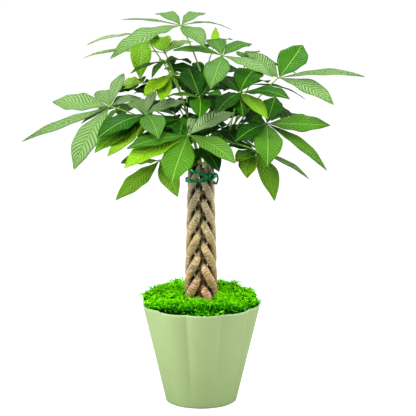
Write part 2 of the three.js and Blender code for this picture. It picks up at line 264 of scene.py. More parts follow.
def tube(bm, path, radius, sides, rows):
    # closed tube round path(share) with radius(share); its first and last rows are its ends
    chord = path(1.0) - path(0.0)
    across = chord.orthogonal().normalized()

    def shape(turn, run):
        step = run * rows
        share = min(max((step - 1) / (rows - 2), 0.0), 1.0)
        middle = path(share)
        ahead = path(min(share + 0.02, 1.0)) - path(max(share - 0.02, 0.0))
        side = across.cross(ahead).normalized()
        rise = ahead.normalized().cross(side)
        reach = radius(share) if 0.5 < step < rows - 0.5 else 0.0
        angle = 2 * math.pi * turn
        return middle + reach * (math.cos(angle) * side + math.sin(angle) * rise)

    verts = wrapGrid(bm, sides, rows, shape)
    closeUp(bm, verts)


def makePiece(bm, name, nodes, finishes, outward=True):
    if outward:
        bmesh.ops.recalc_face_normals(bm, faces=bm.faces)
    mesh = bpy.data.meshes.new(name)
    bm.to_mesh(mesh)
    bm.free()
    for finish in finishes:
        mesh.materials.append(finish)
    mesh.shade_smooth()
    piece = link(bpy.data.objects.new(name, mesh))
    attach(piece, "root")
    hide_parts(*nodes)
    return piece


def spline(points, share):
    # smooth curve through points
    steps = len(points) - 1
    at = min(int(share * steps), steps - 1)
    t = share * steps - at
    b, c = points[at], points[at + 1]
    a = points[at - 1] if at else 2 * b - c
    d = points[at + 2] if at + 2 <= steps else 2 * c - b
    bend = (2 * a - 5 * b + 4 * c - d) * t * t + (3 * b - a - 3 * c + d) * t ** 3
    return 0.5 * (2 * b + (c - a) * t + bend)


# Fluted pot
pot = {
    "height": 130, "rimRadius": 77.5, "baseRadius": 46, "wall": 2.2, "floor": 3, "soilTop": 119,
    "lobes": 10, "firstLobe": -86.5, "grooveAtRim": 4.5, "grooveAtBase": 0.6,
    "columnsPerLobe": 24,
    # the lip colour is a painted highlight and the foot colour painted shade
    "color": (0.43, 0.58, 0.25), "lipHighlight": (0.52, 0.66, 0.33), "footShade": (0.25, 0.38, 0.12),
}


def wallRadius(height, angle):
    share = height / pot["height"]
    full = between(pot["baseRadius"], pot["rimRadius"], share)
    depth = between(pot["grooveAtBase"], pot["grooveAtRim"], share)
    turn = (((math.degrees(angle) - pot["firstLobe"]) / (360 / pot["lobes"])) % 1 + 1.5) % 1
    return full - depth * (2 * turn - 1) ** 2


def makePotFinish():
    material, tree, shader = newFinish("potPlastic", Roughness=0.5)
    place = addNode(tree, "ShaderNodeTexCoord").outputs["Object"]
    worn = useGroup(tree, grain, {"Place": place, "Fine": 1500.0, "Broad": 14.0})
    height = addNode(tree, "ShaderNodeSeparateXYZ", {0: place}).outputs["Z"]
    body = colorRamp(tree, worn["Patches"], [
        (0.3, tuple(0.94 * c for c in pot["color"])), (0.7, tuple(min(1.03 * c, 1) for c in pot["color"]))])
    # painted highlight: the rounded lip is paler
    color = paintOver(tree, body, remap(tree, height, 0.1272, 0.1296), pot["lipHighlight"])
    # painted shade: the wall darkens toward the foot
    color = paintOver(tree, color, remap(tree, height, 0.0, 0.09, 0.3, 0.0), pot["footShade"])
    tree.links.new(color, shader.inputs["Base Color"])
    tree.links.new(remap(tree, worn["Grain"], 0.2, 0.8, 0.46, 0.58), shader.inputs["Roughness"])
    bumpInto(tree, shader, worn["Grain"], 0.00006)
    return material


def makePot():
    # profile of foot, outer wall, rounded lip, inner wall and floor, turned and then fluted
    wall, top = pot["wall"], pot["height"]
    rows = [(0.0, 0.0)] + [(-3.2, 0.0), (-1.9, 0.0), (-0.9, 0.35), (-0.25, 1.0), (0.0, 2.2)]
    rows += [(0.0, 2.2 + (top - 3.4) * i / 24) for i in range(1, 25)]
    rows += [(-0.1, top - 0.55), (-0.45, top - 0.1), (-0.9, top)]
    rows += [(-wall + 0.9, top), (-wall + 0.3, top - 0.2), (-wall, top - 0.8)]
    rows += [(-wall, pot["soilTop"]), (-wall, 60), (-wall, 5), (-wall - 1.2, pot["floor"])]
    bm = startMesh()
    base = [bm.verts.new((0, 0, 0))]
    for inset, height in rows[1:]:
        full = between(pot["baseRadius"], pot["rimRadius"], height / top)
        base.append(bm.verts.new(((full + inset) * mm, 0, height * mm)))
    base.append(bm.verts.new((0, 0, pot["floor"] * mm)))
    edges = [bm.edges.new(pair) for pair in zip(base, base[1:])]
    bmesh.ops.spin(bm, geom=base + edges, cent=(0, 0, 0), axis=(0, 0, 1), angle=2 * math.pi,
                   steps=pot["lobes"] * pot["columnsPerLobe"], use_merge=True)
    closeUp(bm)
    for vert in bm.verts:
        reach = math.hypot(vert.co.x, vert.co.y)
        if reach > 1e-6:
            height = vert.co.z / mm
            full = between(pot["baseRadius"], pot["rimRadius"], height / top)
            angle = math.atan2(vert.co.y, vert.co.x)
            scale = 1 + (wallRadius(height, angle) - full) / full * min(1, reach / mm / 30)
            vert.co.x *= scale
            vert.co.y *= scale
    makePiece(bm, "potShell", ["pot"], [makePotFinish()])


makePot()
print("pot made")


# Soil under the moss
soil = {"dark": (0.018, 0.011, 0.007), "light": (0.07, 0.045, 0.028), "crumbs": 420.0}


def makeSoilFinish():
    material, tree, shader = newFinish("pottingSoil", Roughness=0.95)
    place = addNode(tree, "ShaderNodeTexCoord").outputs["Object"]
    crumbs = addNode(tree, "ShaderNodeTexVoronoi", {"Vector": place, "Scale": soil["crumbs"]}).outputs
    loose = useGroup(tree, grain, {"Place": place, "Fine": 700.0, "Broad": 60.0})
    color = colorRamp(tree, loose["Patches"], [(0.3, soil["dark"]), (0.7, soil["light"])])
    tree.links.new(blendColors(tree, 0.35, color, crumbs["Color"], "MULTIPLY"), shader.inputs["Base Color"])
    bumpInto(tree, shader, maths(tree, "ADD", crumbs["Distance"], loose["Grain"]), 0.0012)
    return material


soilFinish = makeSoilFinish()
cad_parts["soil"].data.materials.clear()
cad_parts["soil"].data.materials.append(soilFinish)
print("soil coloured")


# Braided trunk
trunk = {
    "strands": 7, "radius": 6.1, "pinch": 0.18, "foot": 100.3, "top": 313, "pitch": 198, "start": 137,
    "width": 16.4, "depth": 14.6, "taperFrom": 140, "taperTo": 300, "least": 0.78,
    "sideWaves": (0.02, 0.03), "depthWaves": (0.34, 0.1),
    "sides": 24, "rows": 400, "lumps": 0.3, "lumpScale": 0.11,
    "rings": 88, "ringDepth": 0.11, "ringDrift": 0.2, "driftAcross": 12.566, "driftAlong": 40.0,
    # painted shade between strands, full near a neighbour and fading with distance
    "creaseShadeFull": 1.7, "creaseShadeReach": 4,
    # darker and lighter bark, from the foot up; the top is greyer, and paler as painted light in the crown's
    # shadow
    "lowBark": ((0.25, 0.11, 0.035), (0.56, 0.30, 0.11)),
    "middleBark": ((0.28, 0.215, 0.07), (0.66, 0.53, 0.22)),
    "highBarkLit": ((0.44, 0.40, 0.19), (0.86, 0.78, 0.46)),
    # painted shade at the foot and in the creases; the ring grooves are partly painted shade and the pale
    # dashes partly painted highlight
    "footShade": (0.20, 0.065, 0.025), "ringMarkAndShade": (0.10, 0.055, 0.02), "dashAndHighlight": (0.86, 0.70, 0.52),
    "rustColor": (0.70, 0.30, 0.15), "youngColor": (0.055, 0.12, 0.045), "creaseShadeColor": (0.008, 0.004, 0.002),
}


def strandMiddle(index, height):
    share = min(max((height - trunk["taperFrom"]) / (trunk["taperTo"] - trunk["taperFrom"]), 0), 1)
    size = 1 - (1 - trunk["least"]) * share
    sideways, depthways = trunk["sideWaves"], trunk["depthWaves"]
    turn = 2 * math.pi * ((height - trunk["start"]) / trunk["pitch"] + index / trunk["strands"])
    x = math.cos(turn) - sideways[0] * math.cos(3 * turn) - sideways[1] * math.cos(5 * turn)
    y = math.sin(2 * turn) - depthways[0] * math.sin(4 * turn) + depthways[1] * math.sin(6 * turn)
    radius = trunk["radius"] * (1 - trunk["pinch"] * math.sin(turn) ** 2)
    return Vector((size * trunk["width"] * x, -size * trunk["depth"] * y, height)), size * radius


def ringPhase(across, along):
    turned = trunk["driftAcross"] * across + trunk["driftAlong"] * along
    return trunk["rings"] * along + trunk["ringDrift"] * math.sin(turned)


def makeBarkFinish():
    material, tree, shader = newFinish("youngBark", Roughness=0.3, Specular_IOR_Level=0.4)
    chart = addNode(tree, "ShaderNodeTexCoord").outputs["UV"]
    place = addNode(tree, "ShaderNodeTexCoord").outputs["Object"]
    spot = addNode(tree, "ShaderNodeSeparateXYZ", {0: place}).outputs
    parts = addNode(tree, "ShaderNodeSeparateXYZ", {0: chart}).outputs
    worn = useGroup(tree, grain, {"Place": place, "Fine": 900.0, "Broad": 70.0})
    # broken rings in step with the ones in the shape, dark partly as ring marks and partly as painted shade
    # in the grooves, short pale dashes, partly marks and partly painted highlight, and rusty dashes
    across = times(tree, parts["X"], trunk["driftAcross"])
    turned = maths(tree, "ADD", across, times(tree, parts["Y"], trunk["driftAlong"]))
    drift = times(tree, maths(tree, "SINE", turned), trunk["ringDrift"])
    rings = ridges(tree, maths(tree, "ADD", times(tree, parts["Y"], float(trunk["rings"])), drift))
    broken = remap(tree, streaks(tree, chart, 5, 50), 0.2, 0.5)
    groove = times(tree, remap(tree, rings, 0.5, 1.0), broken)
    dashesAndHighlights = remap(tree, streaks(tree, chart, 3.5, 120), 0.52, 0.62)
    rust = remap(tree, streaks(tree, chart, 3, 100), 0.56, 0.66)
    low, middle, high = [
        colorRamp(tree, worn["Patches"], [(0.5 - spread, trunk[kind][0]), (0.5 + spread, trunk[kind][1])])
        for kind, spread in (("lowBark", 0.2), ("middleBark", 0.25), ("highBarkLit", 0.25))]
    color = blendColors(tree, remap(tree, spot["Z"], 0.140, 0.200), low, middle)
    # painted light: the top of the braid, in the crown's shadow, turns paler
    color = blendColors(tree, remap(tree, spot["Z"], 0.21, 0.29), color, high)
    # the outer strands turn green where they near the leaves
    outer = remap(tree, maths(tree, "ABSOLUTE", spot["X"]), 0.003, 0.009)
    leafward = times(tree, remap(tree, spot["Z"], 0.292, 0.306), outer)
    # painted shade: the bark darkens where another strand lies close
    creaseShade = addNode(tree, "ShaderNodeAttribute", attribute_name="creaseShade").outputs["Fac"]
    # painted shade: the bark darkens toward the foot, down into the moss
    shadedFoot = remap(tree, spot["Z"], 0.114, 0.150, 1.0, 0.0)
    coats = [(shadedFoot, 0.6, "footShade"), (groove, 0.62, "ringMarkAndShade"), (dashesAndHighlights, 0.6, "dashAndHighlight"),
             (rust, 0.5, "rustColor"), (leafward, 0.9, "youngColor"), (creaseShade, 0.97, "creaseShadeColor")]
    for mask, share, paint in coats:
        color = paintOver(tree, color, times(tree, mask, share), trunk[paint])
    tree.links.new(color, shader.inputs["Base Color"])
    relief = maths(tree, "ADD", times(tree, dashesAndHighlights, 0.5), times(tree, worn["Grain"], 0.4))
    bumpInto(tree, shader, maths(tree, "SUBTRACT", relief, groove), 0.00022)
    tree.links.new(remap(tree, worn["Patches"], 0.3, 0.7, 0.26, 0.42), shader.inputs["Roughness"])
    return material


barkFinish = makeBarkFinish()


def makeStrand(index):
    bm = startMesh()
    creaseShadeLayer = bm.verts.layers.float.new("creaseShade")
    rows = trunk["rows"]

    def shape(turn, run):
        step = run * rows
        share = min(max((step - 1) / (rows - 2), 0.0), 1.0)
        height = between(trunk["foot"], trunk["top"], share)
        middle, radius = strandMiddle(index, height)
        ahead = strandMiddle(index, height + 0.5)[0] - strandMiddle(index, height - 0.5)[0]
        # the ends are cut level
        edge = min(share, 1 - share) * 40
        ahead = Vector((0, 0, 1)).lerp(ahead.normalized(), min(edge, 1)).normalized()
        side = Vector((0, 1, 0)).cross(ahead).normalized()
        rise = ahead.cross(side)
        angle = 2 * math.pi * turn
        out = math.cos(angle) * side + math.sin(angle) * rise
        reach = 0.0
        if 0.5 < step < rows - 0.5:
            spot = middle + radius * out
            lumps = noise.noise(spot * trunk["lumpScale"] + Vector((index * 7, 0, 0)))
            rings = math.cos(2 * math.pi * ringPhase(turn, share))
            reach = radius + trunk["lumps"] * lumps + trunk["ringDepth"] * rings
        return (middle + reach * out) * mm

    verts = wrapGrid(bm, trunk["sides"], rows, shape)
    # painted shade, kept per point: how close the nearest other strand lies
    for vert in verts:
        spot = vert.co / mm
        nearest = 99.0
        for other in range(trunk["strands"]):
            if other != index:
                middle, radius = strandMiddle(other, spot.z)
                nearest = min(nearest, (spot - middle).length - radius)
        vert[creaseShadeLayer] = min(max(trunk["creaseShadeFull"] - nearest / trunk["creaseShadeReach"], 0.0), 1.0)
    closeUp(bm, verts)
    makePiece(bm, f"trunkStrand{index + 1}", [f"strand_{index + 1}"], [barkFinish])


for index in range(trunk["strands"]):
    makeStrand(index)
print("trunk braided")


# Moss
moss = {
    "rimRise": 7, "middleRise": 11, "lean": 6, "tufts": 1850, "tuftKinds": 10,
    "columns": 160, "rings": 60, "seed": 5, "rimGap": 4.6, "hole": (21.0, 23.0),
    "tuftSize": (0.7, 1.15), "sprigSize": 1.5,
    # longer sprigs at the rim, as (x, y, height)
    "sprigs": [(-72.5, -12, 138), (-73, 5, 137.5), (72, -33, 136), (-62, 30, 139), (-28, 62, 141.5),
               (-34, 58, 142), (46, 50, 141.5), (-50, -54, 131), (22, -70, 131)],
    "shades": [(0.26, (0.001, 0.018, 0.0002)), (0.46, (0.010, 0.30, 0.0005)),
               (0.66, (0.09, 0.78, 0.001)), (0.95, (0.42, 1.0, 0.004))],
}


def mossHeight(x, y):
    angle = math.atan2(y, x)
    edge = wallRadius(pot["height"], angle) - pot["wall"]
    radius = math.hypot(x, y)
    share = min(radius / edge, 1.05)
    broad = math.sin(5 * angle + 1) * math.cos(radius / 9)
    small = math.sin(11 * angle + radius / 6) + math.cos(17 * angle - radius / 5)
    lump = (1.6 * broad + 0.9 * small) * min(1, max(0, 4 * (1.05 - share)))
    rise = between(moss["rimRise"], moss["middleRise"], 1 - share ** 2)
    lean = moss["lean"] * share * y / max(radius, 1)
    return pot["height"] + rise + lean + lump


def makeMossFinish():
    material, tree, shader = newFinish("dyedMoss", Roughness=0.85, Specular_IOR_Level=0.06)
    place = addNode(tree, "ShaderNodeTexCoord").outputs["Object"]
    worn = useGroup(tree, grain, {"Place": place, "Fine": 1200.0, "Broad": 130.0})
    # painted shade from the tip value: dark on the mound and at the roots of the threads, bright at their
    # tips
    depth = addNode(tree, "ShaderNodeAttribute", attribute_name="tip").outputs["Fac"]
    depthward = addNode(tree, "ShaderNodeSeparateXYZ", {0: place}).outputs["Y"]
    # painted shade: darker toward the front, but not at the very rim
    front = times(tree, remap(tree, depthward, -0.078, -0.03, 0.6, 0.0),
                  remap(tree, depthward, -0.080, -0.058))
    tone = maths(tree, "ADD", times(tree, depth, 0.68), times(tree, worn["Patches"], 0.5))
    color = colorRamp(tree, maths(tree, "SUBTRACT", tone, front), moss["shades"])
    tree.links.new(color, shader.inputs["Base Color"])
    bumpInto(tree, shader, worn["Grain"], 0.0003)
    return material


mossFinish = makeMossFinish()


def makeMossMound():
    bm = startMesh()
    tipLayer = bm.verts.layers.float.new("tip")

    def shape(turn, run):
        angle = 2 * math.pi * turn
        edge = wallRadius(pot["height"], angle) - pot["wall"] - 0.2
        # the first rows close the mound at the soil
        if run < 0.035:
            return Vector((0, 0, pot["soilTop"] + 0.4)) * mm
        if run < 0.08:
            edge = wallRadius(pot["soilTop"], angle) - pot["wall"] - 0.3
            return Vector((edge * math.cos(angle), edge * math.sin(angle), pot["soilTop"] + 0.4)) * mm
        share = (1 - run) / 0.92
        radius = edge * share
        x, y = radius * math.cos(angle), radius * math.sin(angle)
        rough = noise.noise(Vector((x, y, 3)) * 0.23) + 0.5 * noise.noise(Vector((x, y, 9)) * 0.6)
        return Vector((x, y, mossHeight(x, y) - 2.2 + 1.6 * rough)) * mm

    verts = wrapGrid(bm, moss["columns"], moss["rings"], shape)
    # painted shade: the mound under the tufts is dark
    for vert in verts:
        vert[tipLayer] = 0.15
    closeUp(bm, verts)
    makePiece(bm, "mossMound", ["moss"], [mossFinish])


def makeTuft(seed):
    # a few curly threads
    chance = random.Random(seed)
    bm = startMesh()
    tipLayer = bm.verts.layers.float.new("tip")
    for branch in range(3):
        heading = 2 * math.pi * (branch + chance.uniform(-0.4, 0.4)) / 3
        lean = chance.uniform(0.5, 1.2)
        out = Vector((math.cos(heading), math.sin(heading), 0))
        curl = out.cross(Vector((0, 0, 1))) * chance.choice((-1, 1)) * chance.uniform(1.2, 2.6)
        points = [
            Vector((0, 0, -1.4)),
            out * 1.2 * lean + Vector((0, 0, 1.2)),
            out * 2.9 * lean + curl * 0.7 + Vector((0, 0, chance.uniform(2.4, 3.6))),
            out * 3.9 * lean + curl * 1.5 + Vector((0, 0, chance.uniform(1.6, 3.8))),
            out * 3.0 * lean + curl * 2.1 + Vector((0, 0, chance.uniform(1.0, 4.2))),
        ]
        thick = chance.uniform(0.5, 0.72)
        bright = chance.uniform(0.45, 1.4)
        tube(bm, lambda t: spline(points, t), lambda t: thick * (1 - 0.5 * t), 3, 6)
        # painted shade: each thread darkens toward its root; bright is its own random tone
        for vert in bm.verts:
            if not vert[tipLayer]:
                vert[tipLayer] = 0.01 + bright * min(max(vert.co.z / 3.6, 0), 1)
    bmesh.ops.recalc_face_normals(bm, faces=bm.faces)
    mesh = bpy.data.meshes.new("tuft")
    bm.to_mesh(mesh)
    bm.free()
    return mesh


def makeMossTufts():
    chance = random.Random(moss["seed"])
    kinds = [makeTuft(seed) for seed in range(moss["tuftKinds"])]
    bm = startMesh()
    bm.verts.layers.float.new("tip")

    def plant(x, y, height, lean, size):
        angle = math.atan2(y, x)
        tilt = Matrix.Rotation(lean, 4, (-math.sin(angle), math.cos(angle), 0))
        turn = Matrix.Rotation(chance.uniform(0, 2 * math.pi), 4, "Z")
        grow = Matrix.Diagonal((size, size, size, 1))
        place = Matrix.Translation(Vector((x, y, height)) * mm) @ tilt @ turn @ grow
        kind = chance.choice(kinds)
        kind.transform(place)
        bm.from_mesh(kind)
        kind.transform(place.inverted())

    for x, y, height in moss["sprigs"]:
        for i in range(2):
            plant(x, y, height, 0.5 * i, moss["sprigSize"] * mm)
    made = 0
    while made < moss["tufts"]:
        angle = chance.uniform(0, 2 * math.pi)
        edge = wallRadius(pot["height"], angle) - moss["rimGap"]
        radius = edge * math.sqrt(chance.uniform(0.05, 1))
        x, y = radius * math.cos(angle), radius * math.sin(angle)
        if math.hypot(x / moss["hole"][0], y / moss["hole"][1]) < 1:
            continue
        made += 1
        share = radius / edge
        height = mossHeight(x, y) - 1.3 + chance.uniform(-1.2, 1.0) - 1.8 * max(0, share - 0.93) / 0.07
        lean = 0.55 * share + chance.uniform(-0.5, 0.5)
        plant(x, y, height, lean, chance.uniform(*moss["tuftSize"]) * mm)
    for kind in kinds:
        bpy.data.meshes.remove(kind)
    makePiece(bm, "mossTufts", ["moss"], [mossFinish], outward=False)


makeMossMound()
makeMossTufts()
print("moss laid")


# Foil tie
tie = {
    "height": 296, "rises": (-5.5, 11), "width": 4.2, "reachX": 19.3, "reachY": 19.3,
    "columns": 260, "rows": 16, "crumple": 0.7,
    "dark": (0.0, 0.10, 0.03), "bright": (0.01, 0.50, 0.16),
    # the twisted ends, as (thickness, points beside the band)
    "loops": [
        (1.25, [(-5.3, -15.6, -0.5), (-2.3, -15, 4), (1.2, -10.5, 3), (2.2, -7, -4), (0, -10.8, -9),
                (-2.8, -14.6, -5.5)]),
        (1.1, [(-9.0, -18.6, -1.0), (-7.5, -18.8, 3.6), (-4.5, -17.2, 4.6), (-3.4, -16.2, 0.5),
               (-6.0, -18.0, -2.5)]),
        (1.0, [(-6.5, -18.2, -1.5), (-4.0, -17.4, -5.8), (-0.6, -14.6, -8.2), (1.4, -11.5, -6.0)]),
    ],
}


def makeTieFinish():
    material, tree, shader = newFinish("greenFoil", Roughness=0.22, Metallic=0.6)
    place = addNode(tree, "ShaderNodeTexCoord").outputs["Object"]
    worn = useGroup(tree, grain, {"Place": place, "Fine": 500.0, "Broad": 160.0})
    color = colorRamp(tree, worn["Patches"], [(0.35, tie["dark"]), (0.65, tie["bright"])])
    tree.links.new(color, shader.inputs["Base Color"])
    creases = addNode(tree, "ShaderNodeTexVoronoi", {"Vector": place, "Scale": 520.0}).outputs["Distance"]
    bumpInto(tree, shader, maths(tree, "ADD", creases, worn["Grain"]), 0.0006)
    return material


def makeTie():
    # two turns of crumpled foil, and the ends twisted into small loops beside them
    bm = startMesh()
    rx, ry, high = tie["reachX"], tie["reachY"], tie["height"]

    def band(rise, seed):
        def shape(turn, run):
            angle = 2 * math.pi * turn
            x, y = math.cos(angle), math.sin(angle)
            around = 2 * math.pi * run
            folds = noise.noise(Vector((16 * x, 16 * y, seed + 1.6 * math.cos(around))))
            pinch = 1 + 0.4 * noise.noise(Vector((7 * x, 7 * y, seed + 40)))
            ripple = 0.7 * noise.noise(Vector((5 * x, 5 * y, seed + 20)))
            out = 0.5 + 0.5 * math.cos(around) + tie["crumple"] * folds
            z = high + rise * (1 - x) * 0.5 + tie["width"] / 2 * math.sin(around) * pinch + ripple
            return Vector(((rx + out) * x, (ry + out) * y, z)) * mm

        closeUp(bm, wrapGrid(bm, tie["columns"], tie["rows"], shape))

    def loop(points, thick, seed):
        path = [Vector((rx + x, y, high + z)) * mm for x, y, z in points]

        def radius(t):
            return (thick + 0.55 * thick * noise.noise(Vector((9 * t, seed, 0)))) * mm

        tube(bm, lambda t: spline(path, t), radius, 8, 60)

    for seed, rise in enumerate(tie["rises"]):
        band(rise, seed * 9 + 1)
    for seed, (thick, points) in enumerate(tie["loops"], 1):
        loop(points, thick, seed)
    makePiece(bm, "foilTie", ["tie"], [makeTieFinish()])


makeTie()
print("tie wound")


